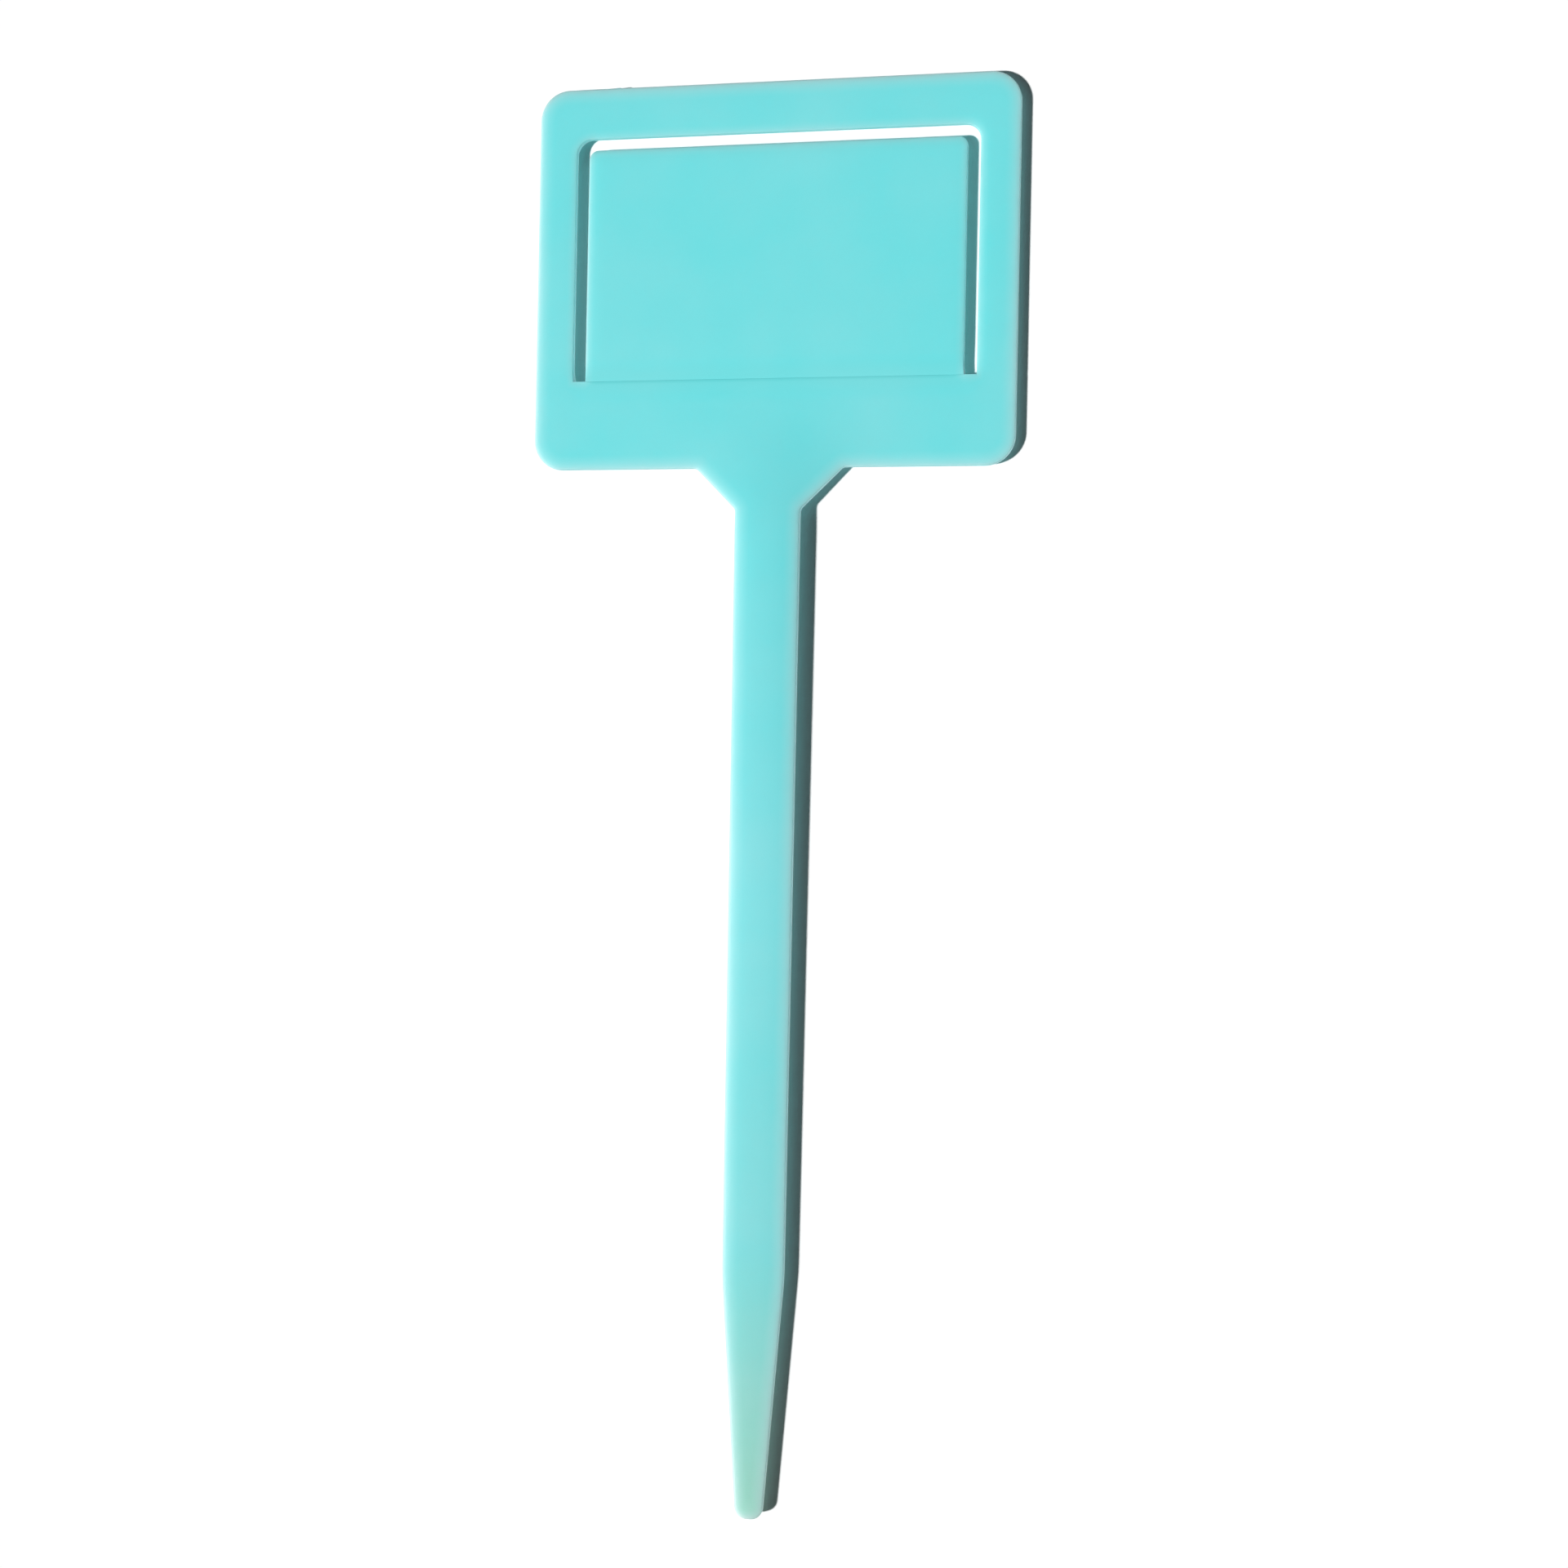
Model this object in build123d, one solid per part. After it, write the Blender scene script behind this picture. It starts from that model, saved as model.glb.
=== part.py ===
from build123d import *
import os
from math import acos, atan2, cos, hypot, sin

# A one-piece moulded plant label stake, standing upright: +Z up the stem, +X to the right of someone
# facing the front, the front towards -Y. The flat back lies in the plane Y = 0. The origin is on the
# stem's centre line at the soil line. All sizes are millimetres.

# Overall
overall_length = 185.4
soil_depth = 60.0            # how far the point and stem go into the soil

# Head: a rounded rectangle with a window in it
head_width = 63.5
head_height = 50.0
head_corner = 3.9
rail_width = 5.1             # left and right rails of the frame
top_rail = 6.6
panel_height = 11.6          # solid band below the window
window_corner = 2.0

# Tongue, which stands in the window and is joined to the panel along its lower edge
side_slot = 1.65             # gap to the frame's rails
top_slot = 1.45              # gap to its top rail
tongue_corner = 1.25
hinge_length = 8.0           # height of the strip at the root that flexes
crease_width = 0.5           # shallow groove across the root
crease_depth = 0.2

# Neck, stem and point
gusset = 5.4                 # run and rise of the 45 degree gussets
gusset_soft = 1.0
stem_width_top = 8.55
stem_width_low = 8.1
point_length = 31.1
shoulder_radius = 40.0       # where the stem's sides turn into the point
tip_radius = 1.6

# Thickness, from the flat back to the front
head_thickness = 1.65
neck_thickness = 2.65        # thickest just below the neck
tip_thickness = 2.1
ramp_margin = 1.5            # the front starts to rise this far below the window
ramp_below_neck = 4.0        # and is at its thickest this far below the gussets

# Edges
front_round = 0.3            # the front edges are crisp
back_round = 1.0             # the back edges are full and round

# Stub left by the moulding gate on the head's top edge
gate_x = -21.3
gate_radius = 0.65
gate_height = 0.35
gate_length = 0.7
gate_depth = 1.15            # its middle, measured from the back

# How the moulding is divided into nodes
neck_block_margin = 2.5      # the neck's block reaches this far past the gussets, into the panel
stem_cut_margin = 2.5        # and this far down the stem

# Levels along the stem
tip_z = -soil_depth
top_z = overall_length - soil_depth
head_z = top_z - head_height
crease_z = head_z + panel_height
window_top_z = top_z - top_rail
tongue_top_z = window_top_z - top_slot
neck_z = head_z - gusset
shoulder_z = tip_z + point_length
hinge_top_z = crease_z + hinge_length
ramp_top_z = crease_z - ramp_margin
ramp_low_z = neck_z - ramp_below_neck

# Half widths
half_head = head_width / 2
half_window = half_head - rail_width
half_tongue = half_window - side_slot
half_stem_top = stem_width_top / 2
half_stem_low = stem_width_low / 2
half_gusset = half_stem_top + gusset

tolerance = 0.01             # for telling edges apart
spare = 5.0                  # how far a cutter reaches past the moulding


def round_corners(face, corners, radius):
    """Round the plan corners that are nearest to the given points."""
    nearest = [face.vertices().sort_by_distance(corner)[0] for corner in corners]
    return fillet(nearest, radius)


def both_sides(x, z):
    return [(-x, z), (x, z)]


def front_edges(solid, skip_levels):
    """Edges on the front surface, without those that lie across the stem at the given levels."""
    chosen = ShapeList()
    for edge in solid.edges():
        box = edge.bounding_box()
        across = box.size.Z < tolerance and any(abs(box.min.Z - z) < tolerance for z in skip_levels)
        if box.max.Y < -head_thickness / 2 and not across:
            chosen.append(edge)
    return chosen


def back_edges(solid, skip_levels):
    """Edges in the flat back, without those that lie across the stem at the given levels."""
    chosen = ShapeList()
    for edge in solid.edges():
        box = edge.bounding_box()
        across = box.size.Z < tolerance and any(abs(box.min.Z - z) < tolerance for z in skip_levels)
        if box.min.Y > -tolerance and not across:
            chosen.append(edge)
    return chosen


def round_edges(solid, skip_levels):
    solid = fillet(front_edges(solid, skip_levels), front_round)
    return fillet(back_edges(solid, skip_levels), back_round)


def raise_plan(face, thickness):
    """Turn a plan drawn in X and Z into a plate from the back plane towards the front."""
    return extrude(Plane.XZ * face, amount=thickness)


def make_rim():
    """The frame's two rails and top rail, cut off level with the crease."""
    rim_height = top_z - crease_z
    window_height = window_top_z - crease_z
    outer = Pos(0, crease_z + rim_height / 2) * Rectangle(head_width, rim_height)
    outer = round_corners(outer, both_sides(half_head, top_z), head_corner)
    window = Pos(0, crease_z + window_height / 2) * Rectangle(2 * half_window, window_height)
    window = round_corners(window, both_sides(half_window, window_top_z), window_corner)
    rim = raise_plan(outer - window, head_thickness)
    rim = round_edges(rim, [crease_z])
    stub = Cylinder(gate_radius, gate_length, rotation=(90, 0, 0))
    return rim + Pos(gate_x, -gate_depth, top_z + gate_height - gate_radius) * stub


def make_lower_plan():
    """Plan of everything below the crease: panel, gussets, stem and round-ended point."""
    tip_centre_z = tip_z + tip_radius
    rise = shoulder_z - tip_centre_z
    turn = atan2(rise, half_stem_low) - acos(tip_radius / hypot(half_stem_low, rise))
    tangent_x = tip_radius * cos(turn)
    tangent_z = tip_centre_z + tip_radius * sin(turn)
    right_side = [
        (half_head, crease_z),
        (half_head, head_z),
        (half_gusset, head_z),
        (half_stem_top, neck_z),
        (half_stem_low, shoulder_z),
        (tangent_x, tangent_z),
    ]
    left_side = [(-x, z) for x, z in reversed(right_side)]
    outline = Polyline(*right_side)
    outline += ThreePointArc(right_side[-1], (0, tip_z), left_side[0])
    outline += Polyline(*left_side)
    outline += Line(left_side[-1], right_side[0])
    plan = make_face(outline)
    plan = round_corners(plan, both_sides(half_head, head_z), head_corner)
    plan = round_corners(plan, both_sides(half_gusset, head_z), gusset_soft)
    plan = round_corners(plan, both_sides(half_stem_top, neck_z), gusset_soft)
    return round_corners(plan, both_sides(half_stem_low, shoulder_z), shoulder_radius)


def make_side_profile():
    """Region between the back and the front in side view, wider than the moulding on every other side."""
    stem_slope = (neck_thickness - tip_thickness, tip_z - ramp_low_z)
    below_tip = -tip_thickness + stem_slope[0] * spare / (ramp_low_z - tip_z)
    front = Polyline((spare, crease_z), (-head_thickness, crease_z), (-head_thickness, ramp_top_z))
    front += Spline(
        (-head_thickness, ramp_top_z), (-neck_thickness, ramp_low_z), tangents=((0, -1), stem_slope)
    )
    front += Polyline((-neck_thickness, ramp_low_z), (below_tip, tip_z - spare), (spare, tip_z - spare))
    front += Line((spare, tip_z - spare), (spare, crease_z))
    return extrude(Plane.YZ * make_face(front), amount=head_width, both=True)


def make_lower():
    plate = raise_plan(make_lower_plan(), neck_thickness + spare)
    plate = plate & make_side_profile()
    return round_edges(plate, [crease_z, ramp_top_z, ramp_low_z])


def make_tongue():
    height = tongue_top_z - crease_z
    plan = Pos(0, crease_z + height / 2) * Rectangle(2 * half_tongue, height)
    plan = round_corners(plan, both_sides(half_tongue, tongue_top_z), tongue_corner)
    tongue = raise_plan(plan, head_thickness)
    return round_edges(tongue, [crease_z])


def make_crease():
    """V-shaped cutter along the tongue's root, as wide as the tongue."""
    section = make_face(Polyline(
        (-head_thickness - tolerance, crease_z - crease_width / 2),
        (-head_thickness - tolerance, crease_z + crease_width / 2),
        (-head_thickness + crease_depth, crease_z),
        close=True,
    ))
    return extrude(Plane.YZ * section, amount=half_tongue, both=True)


def above(solid, level):
    return split(solid, bisect_by=Plane.XY.offset(level), keep=Keep.TOP)


def below(solid, level):
    return split(solid, bisect_by=Plane.XY.offset(level), keep=Keep.BOTTOM)


rim = make_rim()
lower = make_lower()
tongue = make_tongue() - make_crease()
neck_block_top = head_z + neck_block_margin
neck_block_low = neck_z - stem_cut_margin
neck_block_width = 2 * (half_gusset + neck_block_margin)
neck_block = Pos(0, 0, (neck_block_top + neck_block_low) / 2) * Box(
    neck_block_width, 2 * (neck_thickness + spare), neck_block_top - neck_block_low
)

nodes = {
    "head_frame": (above(lower, neck_block_low) - neck_block) + rim - make_crease(),
    "label_tongue": above(tongue, hinge_top_z),
    "tongue_hinge": below(tongue, hinge_top_z),
    "neck": lower & neck_block,
    "stem": above(below(lower, neck_block_low), shoulder_z),
    "point": below(lower, shoulder_z),
}

os.makedirs("parts", exist_ok=True)
for name, solid in nodes.items():
    export_step(solid, f"parts/{name}.step")
    size = solid.bounding_box().size
    print(f"{name}: {size.X:.2f} x {size.Y:.2f} x {size.Z:.2f} mm, {solid.volume:.1f} mm3")
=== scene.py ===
from math import acos, atan2, ceil, cos, exp, hypot, pi, radians, sin, tan

import bmesh
import bpy
import numpy as np
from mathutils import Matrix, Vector
from mathutils.geometry import delaunay_2d_cdt


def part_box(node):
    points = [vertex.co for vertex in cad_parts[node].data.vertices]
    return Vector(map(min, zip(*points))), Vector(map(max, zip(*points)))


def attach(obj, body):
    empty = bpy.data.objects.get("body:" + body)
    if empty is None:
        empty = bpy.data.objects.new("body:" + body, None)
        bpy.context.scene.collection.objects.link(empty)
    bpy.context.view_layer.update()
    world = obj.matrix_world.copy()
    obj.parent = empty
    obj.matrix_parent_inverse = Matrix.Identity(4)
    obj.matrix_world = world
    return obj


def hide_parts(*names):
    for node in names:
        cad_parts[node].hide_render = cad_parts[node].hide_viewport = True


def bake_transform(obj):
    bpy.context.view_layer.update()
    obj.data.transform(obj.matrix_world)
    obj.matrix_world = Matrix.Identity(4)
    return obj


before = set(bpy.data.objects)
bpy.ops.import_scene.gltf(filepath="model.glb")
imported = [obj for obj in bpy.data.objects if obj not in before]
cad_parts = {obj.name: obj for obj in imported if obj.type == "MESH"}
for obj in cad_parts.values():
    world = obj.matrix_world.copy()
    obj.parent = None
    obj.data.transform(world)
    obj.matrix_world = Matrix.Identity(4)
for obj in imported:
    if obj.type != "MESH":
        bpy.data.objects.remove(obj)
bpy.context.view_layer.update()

scene = bpy.context.scene
mm = 0.001                                # the outlines below are in millimetres, Blender is in metres


def nodeBox(name):
    low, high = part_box(name)
    return low / mm, high / mm


# main levels and half widths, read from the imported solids
headLow, headHigh = nodeBox("head_frame")
tongueLow, tongueHigh = nodeBox("label_tongue")
hingeLow, hingeHigh = nodeBox("tongue_hinge")
pointLow, pointHigh = nodeBox("point")
neckLow = nodeBox("neck")[0]
halfHead = headHigh.x
halfTongue = tongueHigh.x
headZ = headLow.z
creaseZ = hingeLow.z
tongueTopZ = tongueHigh.z
shoulderZ = pointHigh.z
tipZ = pointLow.z
headThick = -tongueLow.y
neckThick = -neckLow.y
print("frame read, head", round(2 * halfHead, 1), "mm wide, tip at", round(tipZ, 1), "mm")


def smooth(t):
    t = min(1.0, max(0.0, t))
    return t * t * (3 - 2 * t)


def addObject(name, data):
    thing = bpy.data.objects.new(name, data)
    scene.collection.objects.link(thing)
    return thing


# outlines

meshSizes = {
    "runStep": 1.25,                      # spacing of points along straight edges
    "arcStep": radians(7.5),
    "borders": (1.25, 1.8, 2.6),          # lines of points along every edge, at these distances from it
    "borderSlack": 0.02,                  # their points may be this much nearer to another edge
    "gridStep": 1.8,                      # spacing of points inside the flat faces
    "gridMargin": 0.6,                    # between them and the innermost border
    "backSteps": 12,                      # rings of points round the back edges, front rim and front's fall
    "rimSteps": 6,
    "fallSteps": 5,
    "weld": 0.0015,                       # points nearer than this become one
    "sliver": 0.001,                      # and faces thinner than this go
    "flatWeld": 1e-5,                     # the same, while the flat faces are filled
    "sharpAngle": radians(42),            # edges that turn by more look sharp
    "close": 0.01,                        # for telling outlines apart
    "nearRoot": 0.1,                      # an outline this near to the tongue's root belongs to it
    "farOff": 100.0,                      # stands for no edge near
    "slotShade": 0.8,                     # the painted edge glow is weaker in a slot's shade, as if the edge were this much farther off
    "tiny": 1e-12,                        # keeps a stretch of no length from dividing by zero
}


def outlinePoint(here, normal):
    return {"x": here.x, "z": here.y, "nx": normal.x, "nz": normal.y}


def roundedOutline(corners):
    # corners are (x, z, radius), anticlockwise seen from the front with the material inside
    outline = []
    count = len(corners)
    arcs = []
    for i, (x, z, radius) in enumerate(corners):
        here = Vector((x, z))
        came = (here - Vector(corners[i - 1][:2])).normalized()
        goes = (Vector(corners[(i + 1) % count][:2]) - here).normalized()
        turn = atan2(came.x * goes.y - came.y * goes.x, came.dot(goes))
        trim = radius * tan(abs(turn) / 2)
        arcs.append((here - came * trim, here + goes * trim, came, goes, turn, radius))
    for i, (start, end, came, goes, turn, radius) in enumerate(arcs):
        side = 1 if turn > 0 else -1
        firstNormal = Vector((came.y, -came.x))
        secondNormal = Vector((goes.y, -goes.x))
        if radius > 0:
            centre = start - firstNormal * radius * side
            steps = max(2, ceil(abs(turn) / meshSizes["arcStep"]))
            for k in range(steps + 1):
                a = turn * k / steps
                normal = Vector((
                    firstNormal.x * cos(a) - firstNormal.y * sin(a),
                    firstNormal.x * sin(a) + firstNormal.y * cos(a),
                ))
                outline.append(outlinePoint(centre + normal * radius * side, normal))
        else:
            mitre = (firstNormal + secondNormal) / (1 + firstNormal.dot(secondNormal))
            outline.append(outlinePoint(start, mitre))
        following = arcs[(i + 1) % count]
        run = following[0] - end
        pieces = max(1, ceil(run.length / meshSizes["runStep"]))
        for k in range(1, pieces):
            outline.append(outlinePoint(end + run * k / pieces, secondNormal))
    return outline


def finerRun(outline, low, high, step):
    # the same outline with closer points on the straight stretches inside a box
    finer = []
    for p, q in zip(outline, outline[1:] + outline[:1]):
        finer.append(p)
        if all(low[0] < k["x"] < high[0] and low[1] < k["z"] < high[1] for k in (p, q)):
            pieces = ceil(hypot(q["x"] - p["x"], q["z"] - p["z"]) / step)
            finer += [{a: p[a] + (q[a] - p[a]) * k / pieces for a in p} for k in range(1, pieces)]
    return finer


def mirrored(rightSide):
    return rightSide + [(-x, z, radius) for x, z, radius in reversed(rightSide)]


def insideLoops(points, loops):
    # even and odd crossings of a line to the right of each point
    inside = np.zeros(len(points), bool)
    for loop in loops:
        for (x0, z0), (x1, z1) in zip(loop, np.roll(loop, -1, axis=0)):
            if z0 == z1:
                continue
            crosses = (z0 > points[:, 1]) != (z1 > points[:, 1])
            inside ^= crosses & (points[:, 0] < (x1 - x0) * (points[:, 1] - z0) / (z1 - z0) + x0)
    return inside


def edgeDistance(points, loops, isEdge=None):
    # to the nearest stretch of outline, or only to those that isEdge accepts
    nearest = np.full(len(points), meshSizes["farOff"])
    for loop in loops:
        for first, second in zip(loop, np.roll(loop, -1, axis=0)):
            if isEdge and not isEdge(first, second):
                continue
            run = second - first
            share = np.clip(((points - first) @ run) / max(run @ run, meshSizes["tiny"]), 0, 1)
            gap = points - first - share[:, None] * run
            nearest = np.minimum(nearest, np.hypot(gap[:, 0], gap[:, 1]))
    return nearest


# edges of the moulding, crisp in front and full behind

edgeSizes = {
    "rim": 0.15,                          # radius of the front edges
    "fall": 1.1,                          # the front falls away a little over this width along its edges
    "drop": 0.03,
    "under": 1.0,                         # the back edges are round and this wide
    "frontWall": 0.35,                    # and reach up to here below the front
    "runOut": 1.5,                        # the slots' rounded edges die out over this length at their ends
    "sharp": 0.1,                         # share of the rounding that is left there
}

rootSizes = {
    "creaseFall": 0.5,                    # the panel's front dips to the tongue's root over this width
    "creaseDrop": 0.08,
    "seamEdge": 0.02,                     # all the rounding where the two meshes meet at the root
    "seamGap": 0.002,                     # each of them stops this far from the root's line
}


def plainEdge(share=1.0):
    edge = {key: edgeSizes[key] * share for key in ("rim", "fall", "drop", "under")}
    edge["round"] = share
    return edge


def seamEdge(fall, drop):
    tight = rootSizes["seamEdge"]
    return {"rim": tight, "fall": fall, "drop": drop, "under": tight, "round": tight}


def edgeNearRoot(z):
    # the rounding of the window's and the tongue's edges, which runs out towards the slots' ends
    left = edgeSizes["sharp"]
    return plainEdge(left + (1 - left) * smooth((z - creaseZ) / edgeSizes["runOut"]))


def edgeRings(bm, outline, edgeSize, thickAt, liftAt):
    # rings of vertices over the back edge, round the front rim and up the gentle fall behind it
    m = meshSizes
    quarter = pi / 2
    steps = [("back", quarter * k / m["backSteps"]) for k in range(m["backSteps"] + 1)]
    steps += [("rim", quarter * k / m["rimSteps"]) for k in range(m["rimSteps"] + 1)]
    steps += [("fall", k / m["fallSteps"]) for k in range(1, m["fallSteps"] + 1)]
    rings = []
    for kind, amount in steps:
        ring = []
        for p in outline:
            e = edgeSize(p["x"], p["z"])
            inset = {
                "back": e["under"] * (1 - sin(amount)),
                "rim": e["rim"] * (1 - cos(amount)),
                "fall": e["rim"] + (e["fall"] - e["rim"]) * amount,
            }[kind]
            x = p["x"] - p["nx"] * inset
            z = p["z"] - p["nz"] * inset
            top = thickAt(x, z) - e["drop"] * (1 - inset / e["fall"]) ** 2
            depth = {
                "back": e["round"] * (thickAt(x, z) - edgeSizes["frontWall"]) * (1 - cos(amount)),
                "rim": top - e["rim"] * (1 - sin(amount)),
                "fall": top,
            }[kind]
            ring.append(bm.verts.new((x, -depth, z + liftAt(x, depth, z))))
        rings.append(ring)
    for lower, upper in zip(rings, rings[1:]):
        for k in range(len(lower)):
            n = (k + 1) % len(lower)
            bm.faces.new((lower[k], lower[n], upper[n], upper[k]))
    return rings[0], rings[-1]


# shallow round marks of the ejector pins in the flat back

pinSizes = {
    "radius": 1.25,
    "depth": 0.08,
    "slope": 0.08,                        # width of a mark's sloping wall
    "points": 40,                         # round a mark
    "clear": 0.45,                        # no other points this near to its rim
}


def pinDepth(x, z, marks):
    for markX, markZ in marks:
        if hypot(x - markX, z - markZ) < pinSizes["radius"] - pinSizes["slope"] / 2:
            return pinSizes["depth"]
    return 0.0


def pinPoints(marks):
    spots = []
    for markX, markZ in marks:
        for radius in (pinSizes["radius"], pinSizes["radius"] - pinSizes["slope"]):
            for k in range(pinSizes["points"]):
                a = 2 * pi * k / pinSizes["points"]
                spots.append((markX + radius * cos(a), markZ + radius * sin(a)))
    return spots


def offPins(spot, marks):
    gaps = [abs(hypot(spot[0] - x, spot[1] - z) - pinSizes["radius"]) for x, z in marks]
    return all(gap > pinSizes["clear"] for gap in gaps)


# flat-backed plates

def innerPoints(outlines, loops):
    # points along the edges and over the flat faces
    m = meshSizes
    border = [
        (p["x"] - p["nx"] * inset, p["z"] - p["nz"] * inset, inset)
        for outline in outlines for p in outline for inset in m["borders"]
    ]
    spots = np.array([b[:2] for b in border])
    wanted = np.array([b[2] for b in border])
    clear = insideLoops(spots, loops) & (edgeDistance(spots, loops) > wanted - m["borderSlack"])
    low = np.min([loop.min(0) for loop in loops], axis=0)
    high = np.max([loop.max(0) for loop in loops], axis=0)
    columns = np.arange(low[0], high[0], m["gridStep"])
    rows = np.arange(low[1], high[1], m["gridStep"])
    grid = np.array([(x, z) for z in rows for x in columns])
    room = m["borders"][-1] + m["gridMargin"]
    roomy = insideLoops(grid, loops) & (edgeDistance(grid, loops) > room)
    return [tuple(spot) for spot in np.concatenate([spots[clear], grid[roomy]])]


def fillFace(bm, rings, extra, depthAt):
    # triangles between the given rings of vertices, through the extra points, without the holes
    loops = [np.array([(v.co.x, v.co.z) for v in ring]) for ring in rings]
    made = [v for ring in rings for v in ring]
    flat = [Vector((v.co.x, v.co.z)) for v in made]
    edges = []
    first = 0
    for ring in rings:
        edges += [(first + k, first + (k + 1) % len(ring)) for k in range(len(ring))]
        first += len(ring)
    for x, z in extra:
        flat.append(Vector((x, z)))
        made.append(bm.verts.new((x, depthAt(x, z), z)))
    insideRings = 1                       # the kind of filling, without the hull round the rings
    spots, _, faces, origins, _, _ = delaunay_2d_cdt(
        flat, edges, [], insideRings, meshSizes["flatWeld"]
    )
    middles = np.array([[sum(spots[i][a] for i in face) / 3 for a in (0, 1)] for face in faces])
    for face, keep in zip(faces, insideLoops(middles, loops)):
        corners = [made[origins[i][0]] for i in face]
        if keep and len(set(corners)) == 3:
            bm.faces.new(corners)


def storeDistances(bm, loops, thickAt):
    # millimetres from the edges and from the tongue's root, which the material uses; slot edges count
    # farther off, for the weaker painted glow in their shade
    fromEdge = bm.verts.layers.float.new("fromEdge")
    fromRoot = bm.verts.layers.float.new("fromRoot")
    backRoot = bm.verts.layers.float.new("backRoot")
    places = np.array([(v.co.x, v.co.z) for v in bm.verts])
    slotGaps = edgeDistance(places, loops, alongSlot) + meshSizes["slotShade"]
    edgeGaps = np.minimum(edgeDistance(places, loops, inTheOpen), slotGaps)
    rootGaps = edgeDistance(places, loops, alongRoot)
    for v, edgeGap, rootGap in zip(bm.verts, edgeGaps, rootGaps):
        depth = -v.co.y
        thick = thickAt(v.co.x, v.co.z)
        v[fromEdge] = edgeGap + max(0.0, min(depth, thick - depth))
        v[fromRoot] = rootGap
        v[backRoot] = rootGap if depth < thick / 2 else meshSizes["farOff"]


def makePlate(name, outlines, edgeSize, thickAt, pins, liftAt=lambda x, depth, z: 0.0):
    bm = bmesh.new()
    loops = [np.array([(p["x"], p["z"]) for p in outline]) for outline in outlines]
    rings = [edgeRings(bm, outline, edgeSize, thickAt, liftAt) for outline in outlines]
    inner = innerPoints(outlines, loops)
    innerBack = [spot for spot in inner if offPins(spot, pins)] + pinPoints(pins)
    fillFace(bm, [front for back, front in rings], inner, lambda x, z: -thickAt(x, z))
    fillFace(bm, [back for back, front in rings], innerBack, lambda x, z: -pinDepth(x, z, pins))
    bmesh.ops.remove_doubles(bm, verts=bm.verts[:], dist=meshSizes["weld"])
    bmesh.ops.dissolve_degenerate(bm, edges=bm.edges[:], dist=meshSizes["sliver"])
    bmesh.ops.recalc_face_normals(bm, faces=bm.faces[:])
    storeDistances(bm, loops, thickAt)
    bmesh.ops.scale(bm, vec=(mm, mm, mm), verts=bm.verts[:])
    mesh = bpy.data.meshes.new(name)
    bm.to_mesh(mesh)
    bm.free()
    mesh.shade_smooth()
    mesh.set_sharp_from_angle(angle=meshSizes["sharpAngle"])
    print(name, "made,", len(mesh.polygons), "faces")
    return addObject(name, mesh)


# stake moulding: frame, panel, neck, stem and point in one

stakeSizes = {
    "sideSlot": 1.65,                     # gap between the tongue and the frame's rails
    "topSlot": 1.45,
    "headCorner": 3.9,
    "windowCorner": 2.0,
    "gusset": 5.4,
    "gussetSoft": 1.0,
    "stemWidthTop": 8.55,
    "stemWidthLow": 8.1,
    "shoulderRadius": 40.0,
    "tipRadius": 1.6,
    "tipThick": 2.1,
    "rampMargin": 1.5,                    # the front starts to rise this far below the window
    "rampBelowNeck": 4.0,                 # and is at its thickest this far below the gussets
    "fan": 9.0,                           # the rise fans out this far to each side, and crowns the stem
    "gateX": -21.3,                       # stub left by the moulding gate on the top edge
    "gateHeight": 0.35,
    "gateRise": 0.15,                     # its worn top stays below the full height
    "gateWidth": 0.45,                    # half its width and thickness
    "gateThick": 0.3,
    "gateFlat": 0.6,                      # flat up to here and gone one further, in half sizes squared
    "gateDepth": 1.15,                    # its middle, measured from the back
    "gateReach": 1.35,                    # the edge has closer points this far to each side of it
    "gateStep": 0.1,
    "pins": (                             # middles of the ejector pins' marks
        (-17, 81.5), (17, 81.5), (-29.2, 103.7), (29.2, 103.7),
        (0, 122.1), (0, 57), (0, 15), (0, -26),
    ),
}

topZ = headHigh.z - stakeSizes["gateHeight"]
neckZ = headZ - stakeSizes["gusset"]
halfWindow = halfTongue + stakeSizes["sideSlot"]
windowTopZ = tongueTopZ + stakeSizes["topSlot"]
rampTopZ = creaseZ - stakeSizes["rampMargin"]
rampLowZ = neckZ - stakeSizes["rampBelowNeck"]


def inWindow(x, z):
    spare = meshSizes["close"]
    return abs(x) < halfWindow + spare and creaseZ - meshSizes["nearRoot"] < z < windowTopZ + spare


def inTheOpen(first, second):
    # stretches of outline outside the window
    return not inWindow(*first)


def alongRoot(first, second):
    # the tongue's root, where the plastic runs on
    level = max(abs(first[1] - creaseZ), abs(second[1] - creaseZ)) < meshSizes["nearRoot"]
    return level and max(abs(first[0]), abs(second[0])) < halfTongue + meshSizes["close"]


def alongSlot(first, second):
    return inWindow(*first) and not alongRoot(first, second)


def stakeThick(x, z):
    # the front rises from the panel to the stem, meets the stem's slope and falls evenly to the tip
    run = rampTopZ - rampLowZ
    slope = (neckThick - stakeSizes["tipThick"]) / (rampLowZ - tipZ)
    t = min(1.0, max(0.0, (rampTopZ - z) / run))
    rise = (neckThick - headThick) * smooth(t) + slope * run * t * t * (1 - t)
    fall = slope * max(0.0, rampLowZ - z)
    return headThick + (rise - fall) * exp(-(x / stakeSizes["fan"]) ** 2)


def stakeEdge(x, z):
    if not inWindow(x, z):
        return plainEdge()
    if z < creaseZ and abs(x) < halfTongue - meshSizes["close"]:
        return seamEdge(rootSizes["creaseFall"], rootSizes["creaseDrop"])
    return edgeNearRoot(z)


def gateLift(x, depth, z):
    s = stakeSizes
    if z < topZ - s["gateWidth"]:
        return 0.0
    near = ((x - s["gateX"]) / s["gateWidth"]) ** 2 + ((depth - s["gateDepth"]) / s["gateThick"]) ** 2
    return s["gateRise"] * smooth(1 + s["gateFlat"] - near)


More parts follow.
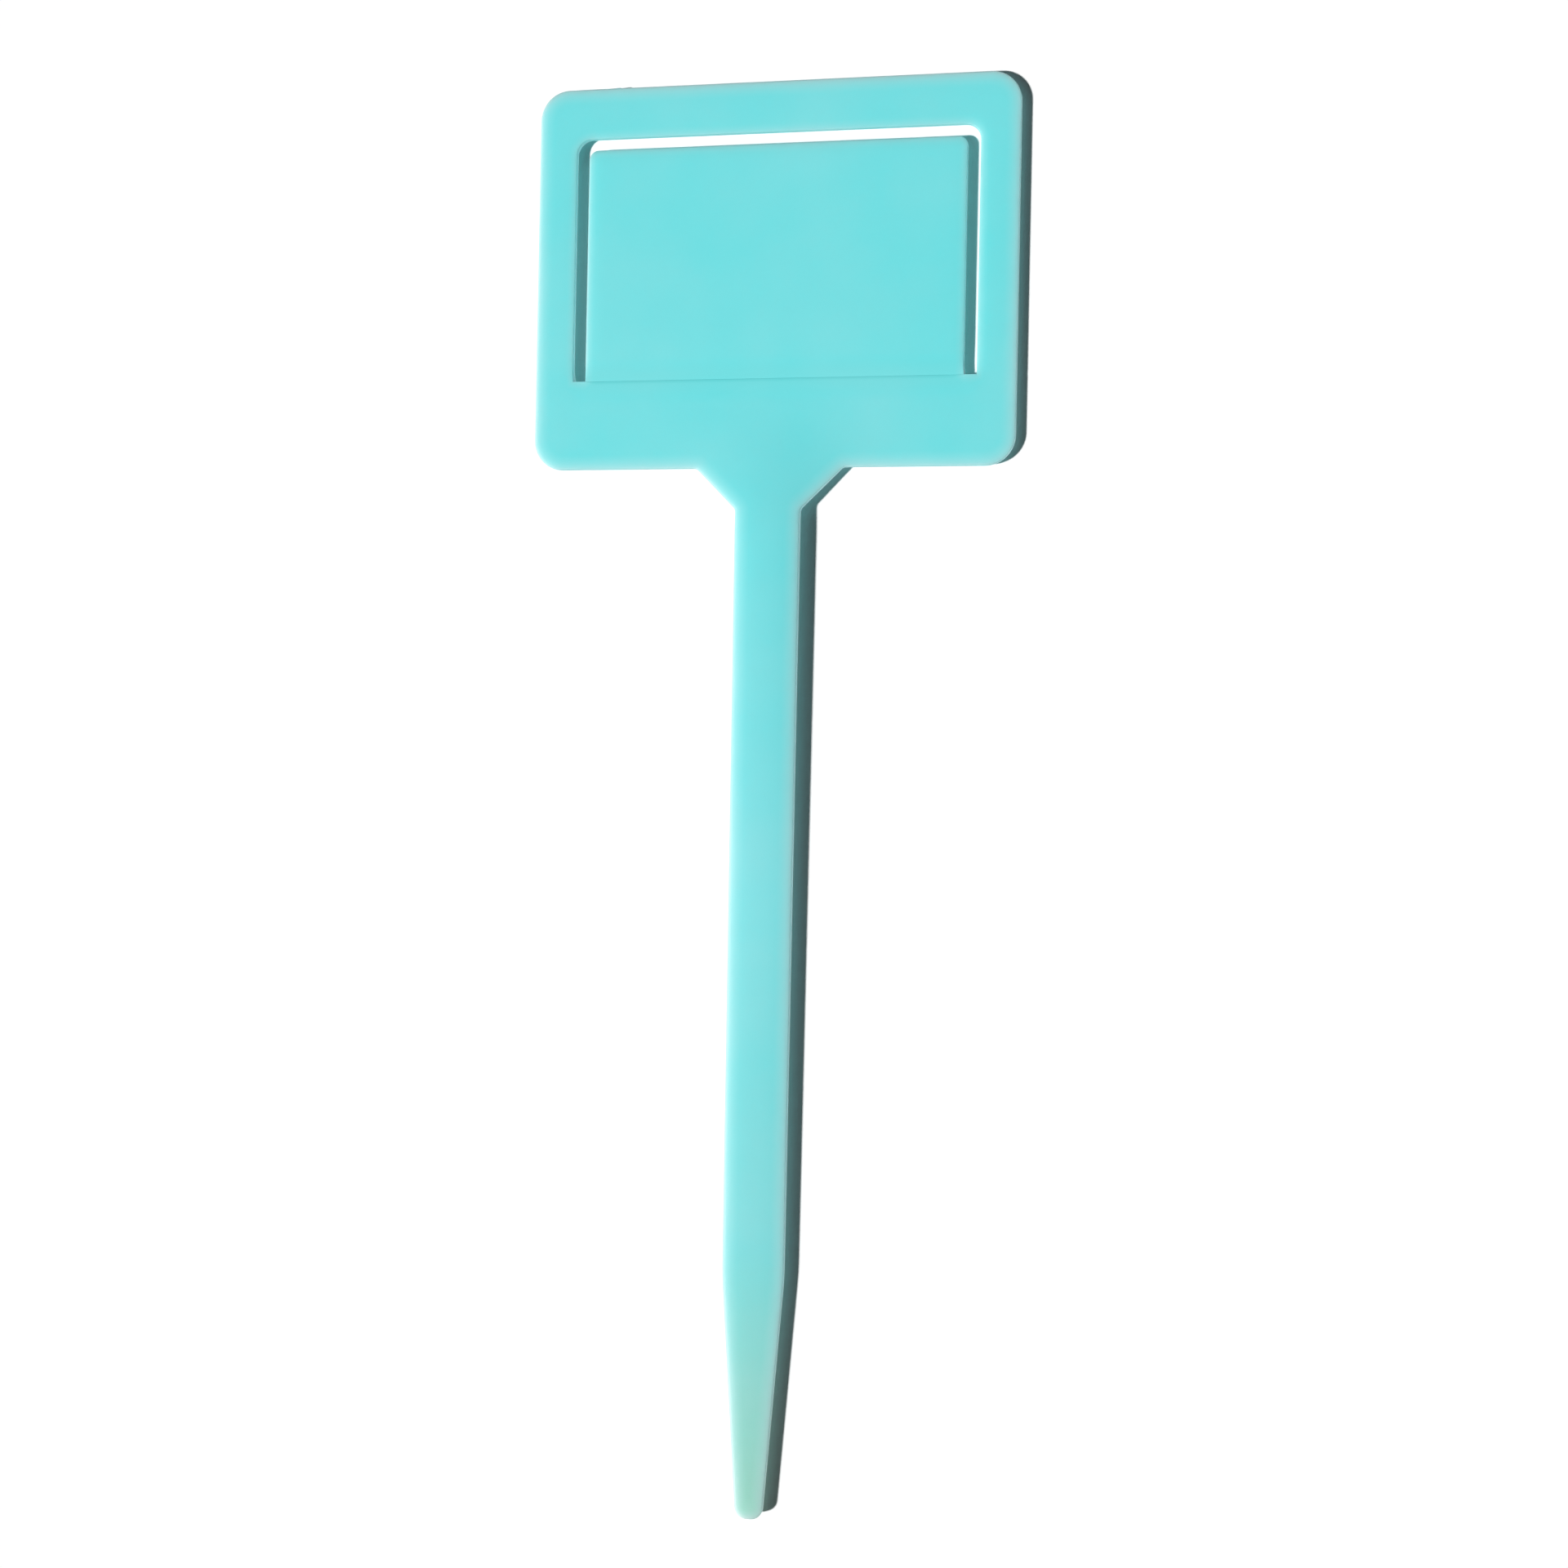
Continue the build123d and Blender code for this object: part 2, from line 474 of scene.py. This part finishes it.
def makeStake():
    s = stakeSizes
    halfTop = s["stemWidthTop"] / 2
    halfLow = s["stemWidthLow"] / 2
    # the point's sides are tangent to its round end
    tipCentreZ = tipZ + s["tipRadius"]
    rise = shoulderZ - tipCentreZ
    lean = atan2(rise, halfLow) - acos(s["tipRadius"] / hypot(halfLow, rise))
    tipCornerX = s["tipRadius"] * (1 - sin(lean)) / cos(lean)
    rightSide = [
        (tipCornerX, tipZ, s["tipRadius"]),
        (halfLow, shoulderZ, s["shoulderRadius"]),
        (halfTop, neckZ, s["gussetSoft"]),
        (halfTop + s["gusset"], headZ, s["gussetSoft"]),
        (halfHead, headZ, s["headCorner"]),
        (halfHead, topZ, s["headCorner"]),
    ]
    reach = s["gateReach"]
    outer = finerRun(
        roundedOutline(mirrored(rightSide)),
        (s["gateX"] - reach, topZ - reach), (s["gateX"] + reach, topZ + reach), s["gateStep"],
    )
    rootZ = creaseZ - rootSizes["seamGap"]
    window = roundedOutline([
        (halfWindow, rootZ, 0),
        (halfTongue, rootZ, 0),
        (-halfTongue, rootZ, 0),
        (-halfWindow, rootZ, 0),
        (-halfWindow, windowTopZ, s["windowCorner"]),
        (halfWindow, windowTopZ, s["windowCorner"]),
    ])
    return makePlate("stakeMoulding", [outer, window], stakeEdge, stakeThick, s["pins"], gateLift)


stake = makeStake()
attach(stake, "stake")
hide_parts("head_frame", "neck", "stem", "point")


# tongue, which bends out of the frame along its root

tongueSizes = {
    "corner": 1.25,
    "dipRun": 5.0,                        # its front dips to the crease over this length
    "pins": ((-16, 103.7), (16, 103.7)),
}


def tongueThick(x, z):
    dip = 1 - smooth((z - creaseZ) / tongueSizes["dipRun"])
    return headThick - rootSizes["creaseDrop"] * dip


def tongueEdge(x, z):
    if z < creaseZ + meshSizes["nearRoot"] and abs(x) < halfTongue - meshSizes["close"]:
        return seamEdge(rootSizes["creaseFall"], 0.0)
    return edgeNearRoot(z)


def makeTongue():
    t = tongueSizes
    rootZ = creaseZ + rootSizes["seamGap"]
    outline = roundedOutline([
        (-halfTongue, rootZ, 0),
        (halfTongue, rootZ, 0),
        (halfTongue, tongueTopZ, t["corner"]),
        (-halfTongue, tongueTopZ, t["corner"]),
    ])
    return makePlate("labelTongue", [outline], tongueEdge, tongueThick, t["pins"])


tongue = makeTongue()
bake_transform(tongue)
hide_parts("label_tongue", "tongue_hinge")


# material

def linear(hexColour):
    # sRGB to linear light, by the standard's own curve
    channels = [int(hexColour[i:i + 2], 16) / 255 for i in (1, 3, 5)]
    return [c / 12.92 if c <= 0.04045 else ((c + 0.055) / 1.055) ** 2.4 for c in channels] + [1.0]


plainWhite = linear("#ffffff")


def addNode(tree, kind, settings=None, **links):
    # settings and links go to a property or an input by its name, or to input number 3 as i3
    node = tree.nodes.new(kind)

    def socket(key):
        if key[0] == "i" and key[1:].isdigit():
            return node.inputs[int(key[1:])]
        return node.inputs.get(key)

    for key, value in (settings or {}).items():
        if socket(key):
            socket(key).default_value = value
        else:
            setattr(node, key, value)
    for key, source in links.items():
        tree.links.new(source, socket(key))
    return node


# Injection-moulded polypropylene, tinted aqua: satin, smooth and a little see-through, so that light spreads
# under the surface and walls in the shade still glow. Thin edges look paler partly from that spread and
# partly from a painted glow, which stands in for light from the pale surface behind coming through them.
plastic = {
    "tints": (                            # by height in mm, greyer and greener towards the tip
        (60, "#69d6d9"), (20, "#71d6d9"), (-25, "#6ed1d2"), (-60, "#8dc7b6"),
    ),
    # painted light: a paler colour at the edges, standing in for light from the pale surface behind coming
    # through the thin plastic
    "edgeGlowColour": "#c0dadc",
    "edgeGlowShare": 0.4,                     # of it at an edge
    "edgeGlowWidth": 2.0,                     # width of the painted glow band along the edges, in mm
    "edgeGlowFall": 1.3,                      # how steeply it fades
    "ior": 1.49,
    "scatter": (4.0, 4.0, 4.0),           # how far red, green and blue light spread inside, in mm
    "rootZone": (0.2, 3.0),               # light starts to spread, and spreads fully, this far from the root
    "rootPaintedLight": 0.25,                     # painted light: the back is paler there, standing in for light that would come through from the front
    "satin": (0.51, 0.54),                # least and most roughness
    "cloudSize": 18.0,                    # uneven tint and gloss from the flow in the mould, in mm
    "cloudDetail": 2.0,
    "cloudRange": (0.3, 0.7),             # the part of the noise that counts
    "cloudTint": 0.05,
    "grainSize": 0.3,                     # grain left by the mould's surface, in mm, coarse enough to show
    "grainDetail": 1.0,
    "grainHeight": 0.002,
}


def tintByHeight(tree, place):
    tints = plastic["tints"]
    highest = tints[0][0]
    lowest = tints[-1][0]
    height = addNode(tree, "ShaderNodeSeparateXYZ", Vector=place).outputs["Z"]
    share = addNode(
        tree, "ShaderNodeMapRange", {"From Min": highest * mm, "From Max": lowest * mm}, Value=height
    ).outputs["Result"]
    ramp = addNode(tree, "ShaderNodeValToRGB", Fac=share)
    stops = ramp.color_ramp.elements
    while len(stops) < len(tints):
        stops.new(1.0)
    for stop, (level, tint) in zip(stops, tints):
        stop.position = (highest - level) / (highest - lowest)
        stop.color = linear(tint)
    return ramp.outputs["Color"]


def paintedEdgeGlow(tree, colour):
    # painted light: mixes towards the glow colour near the edges, weaker at slot edges that lie in shade
    p = plastic
    gap = addNode(tree, "ShaderNodeAttribute", {"attribute_name": "fromEdge"}).outputs["Fac"]
    near = addNode(
        tree, "ShaderNodeMapRange", {"From Min": p["edgeGlowWidth"], "From Max": 0.0}, Value=gap
    ).outputs["Result"]
    nearest = addNode(
        tree, "ShaderNodeMath", {"operation": "POWER", "i1": p["edgeGlowFall"]}, i0=near
    ).outputs[0]
    glowAmount = addNode(
        tree, "ShaderNodeMath", {"operation": "MULTIPLY", "i1": p["edgeGlowShare"]}, i0=nearest
    ).outputs[0]
    return addNode(
        tree, "ShaderNodeMix", {"data_type": "RGBA", "i7": linear(p["edgeGlowColour"])}, i0=glowAmount, i6=colour
    ).outputs[2]


def mouldedPolypropylene():
    p = plastic
    material = bpy.data.materials.new("mouldedPolypropylene")
    material.use_nodes = True
    tree = material.node_tree
    shader = tree.nodes["Principled BSDF"]
    shader.inputs["IOR"].default_value = p["ior"]
    shader.inputs["Subsurface Radius"].default_value = p["scatter"]
    shader.inputs["Subsurface Scale"].default_value = mm
    place = addNode(tree, "ShaderNodeTexCoord").outputs["Object"]
    withEdgeGlow = paintedEdgeGlow(tree, tintByHeight(tree, place))

    # uneven tint and gloss
    cloud = addNode(
        tree, "ShaderNodeTexNoise",
        {"Scale": 1 / (p["cloudSize"] * mm), "Detail": p["cloudDetail"]}, Vector=place,
    ).outputs["Fac"]
    cloudSpan = {"From Min": p["cloudRange"][0], "From Max": p["cloudRange"][1]}
    depth = addNode(
        tree, "ShaderNodeMapRange",
        {**cloudSpan, "To Min": 1 - p["cloudTint"], "To Max": 1 + p["cloudTint"]}, Value=cloud,
    ).outputs["Result"]
    gloss = addNode(
        tree, "ShaderNodeMapRange",
        {**cloudSpan, "To Min": p["satin"][0], "To Max": p["satin"][1]}, Value=cloud,
    ).outputs["Result"]

    # no light spreads across the tongue's root from one mesh to the other
    rootSpan = {
        "interpolation_type": "SMOOTHSTEP", "From Min": p["rootZone"][0], "From Max": p["rootZone"][1],
    }
    fromRoot = addNode(tree, "ShaderNodeAttribute", {"attribute_name": "fromRoot"}).outputs["Fac"]
    spread = addNode(tree, "ShaderNodeMapRange", rootSpan, Value=fromRoot).outputs["Result"]
    # painted light: the back near the root is made paler, standing in for light from the front that cannot
    # spread across the root
    backRoot = addNode(tree, "ShaderNodeAttribute", {"attribute_name": "backRoot"}).outputs["Fac"]
    paintedBackLight = addNode(
        tree, "ShaderNodeMapRange",
        {**rootSpan, "To Min": 1 + p["rootPaintedLight"], "To Max": 1.0}, Value=backRoot,
    ).outputs["Result"]
    tinted = addNode(
        tree, "ShaderNodeHueSaturation", Saturation=depth, Value=paintedBackLight, Color=withEdgeGlow
    ).outputs["Color"]

    grain = addNode(
        tree, "ShaderNodeTexNoise",
        {"Scale": 1 / (p["grainSize"] * mm), "Detail": p["grainDetail"]}, Vector=place,
    ).outputs["Fac"]
    bump = addNode(
        tree, "ShaderNodeBump", {"Strength": 1.0, "Distance": p["grainHeight"] * mm}, Height=grain
    ).outputs["Normal"]
    tree.links.new(tinted, shader.inputs["Base Color"])
    tree.links.new(gloss, shader.inputs["Roughness"])
    tree.links.new(spread, shader.inputs["Subsurface Weight"])
    tree.links.new(bump, shader.inputs["Normal"])
    return material


polypropylene = mouldedPolypropylene()
for piece in (stake, tongue):
    piece.data.materials.append(polypropylene)
print("material made")


# pale surface behind the flat back, seen from the front only

backdropSizes = {
    "width": 3000.0,
    "height": 3000.0,
    "gap": 0.05,                          # between it and the back
    "giveBack": 0.5,                      # share of light that it throws back on the plastic
}


def paleSurface():
    material = bpy.data.materials.new("paleSurface")
    material.use_nodes = True
    tree = material.node_tree
    tree.nodes.clear()
    path = addNode(tree, "ShaderNodeLightPath")
    give = backdropSizes["giveBack"]
    tone = addNode(
        tree, "ShaderNodeMix", {"data_type": "RGBA", "i6": plainWhite, "i7": (give, give, give, 1)},
        i0=path.outputs["Is Diffuse Ray"],
    )
    white = addNode(tree, "ShaderNodeBsdfDiffuse", Color=tone.outputs[2])
    clear = addNode(tree, "ShaderNodeBsdfTransparent")
    side = addNode(tree, "ShaderNodeNewGeometry")
    mix = addNode(
        tree, "ShaderNodeMixShader", i0=side.outputs["Backfacing"], i1=white.outputs[0], i2=clear.outputs[0]
    )
    addNode(tree, "ShaderNodeOutputMaterial", Surface=mix.outputs[0])
    return material


def makeBackdrop():
    b = backdropSizes
    w = b["width"] / 2 * mm
    h = b["height"] / 2 * mm
    y = b["gap"] * mm
    mesh = bpy.data.meshes.new("backdrop")
    mesh.from_pydata([(-w, y, -h), (w, y, -h), (w, y, h), (-w, y, h)], [], [(0, 1, 2, 3)])
    mesh.materials.append(paleSurface())
    backdrop = addObject("backdrop", mesh)
    backdrop.visible_shadow = False


makeBackdrop()
print("backdrop made")


# light

lightSizes = {
    "keyHeight": 50.0,                    # degrees of the key lamp over the front face
    "keySlant": 22.4,                     # its shadows fall to the right and this far up
    "keySoft": 5.0,                       # degrees that the lamp spans, as for the one below
    "keyStrength": 3.98,
    "backTowards": (-0.25, -0.95, 0.1),   # soft light from behind, as a pale table gives back
    "backSoft": 60.0,
    "backStrength": 1.2,
    "fill": 0.045,                        # even light from all round
}


def addSun(name, towards, strength, soft):
    lamp = bpy.data.lights.new(name, "SUN")
    lamp.energy = strength
    lamp.angle = radians(soft)
    sun = addObject(name, lamp)
    sun.rotation_euler = Vector(towards).to_track_quat("-Z", "Y").to_euler()


def makeLamps():
    s = lightSizes
    height = radians(s["keyHeight"])
    slant = radians(s["keySlant"])
    across = (cos(height) * cos(slant), sin(height), cos(height) * sin(slant))
    addSun("keyLamp", across, s["keyStrength"], s["keySoft"])
    addSun("backLamp", s["backTowards"], s["backStrength"], s["backSoft"])


def makeWorld():
    # white where it is seen, and only a little light on the object
    world = bpy.data.worlds.new("studio")
    scene.world = world
    world.use_nodes = True
    tree = world.node_tree
    tree.nodes.clear()
    path = addNode(tree, "ShaderNodeLightPath")
    seen = path.outputs["Is Camera Ray"]
    for kind in ("Is Glossy Ray", "Is Transmission Ray"):
        seen = addNode(
            tree, "ShaderNodeMath", {"operation": "MAXIMUM"}, i0=seen, i1=path.outputs[kind]
        ).outputs[0]
    fill = addNode(
        tree, "ShaderNodeBackground", {"Color": plainWhite, "Strength": lightSizes["fill"]}
    )
    white = addNode(tree, "ShaderNodeBackground", {"Color": plainWhite, "Strength": 1.0})
    mix = addNode(tree, "ShaderNodeMixShader", i0=seen, i1=fill.outputs[0], i2=white.outputs[0])
    addNode(tree, "ShaderNodeOutputWorld", Surface=mix.outputs[0])


makeLamps()
makeWorld()
print("lamps and world made")


# camera at the photograph's viewing angle

cameraSizes = {
    "lens": 52.5,
    "sensor": 36.0,
    "nearest": 10.0,                      # nothing nearer than this is drawn
    "place": (64.06, -289.44, 33.48),     # millimetres
    "turn": (90.228, -1.115, 12.019),     # degrees
}


def makeCamera():
    c = cameraSizes
    data = bpy.data.cameras.new("camera")
    data.lens = c["lens"]
    data.sensor_width = c["sensor"]
    data.clip_start = c["nearest"] * mm
    camera = addObject("camera", data)
    camera.location = Vector(c["place"]) * mm
    camera.rotation_euler = [radians(a) for a in c["turn"]]
    scene.camera = camera


makeCamera()
scene.view_settings.view_transform = "Standard"
print("camera placed")
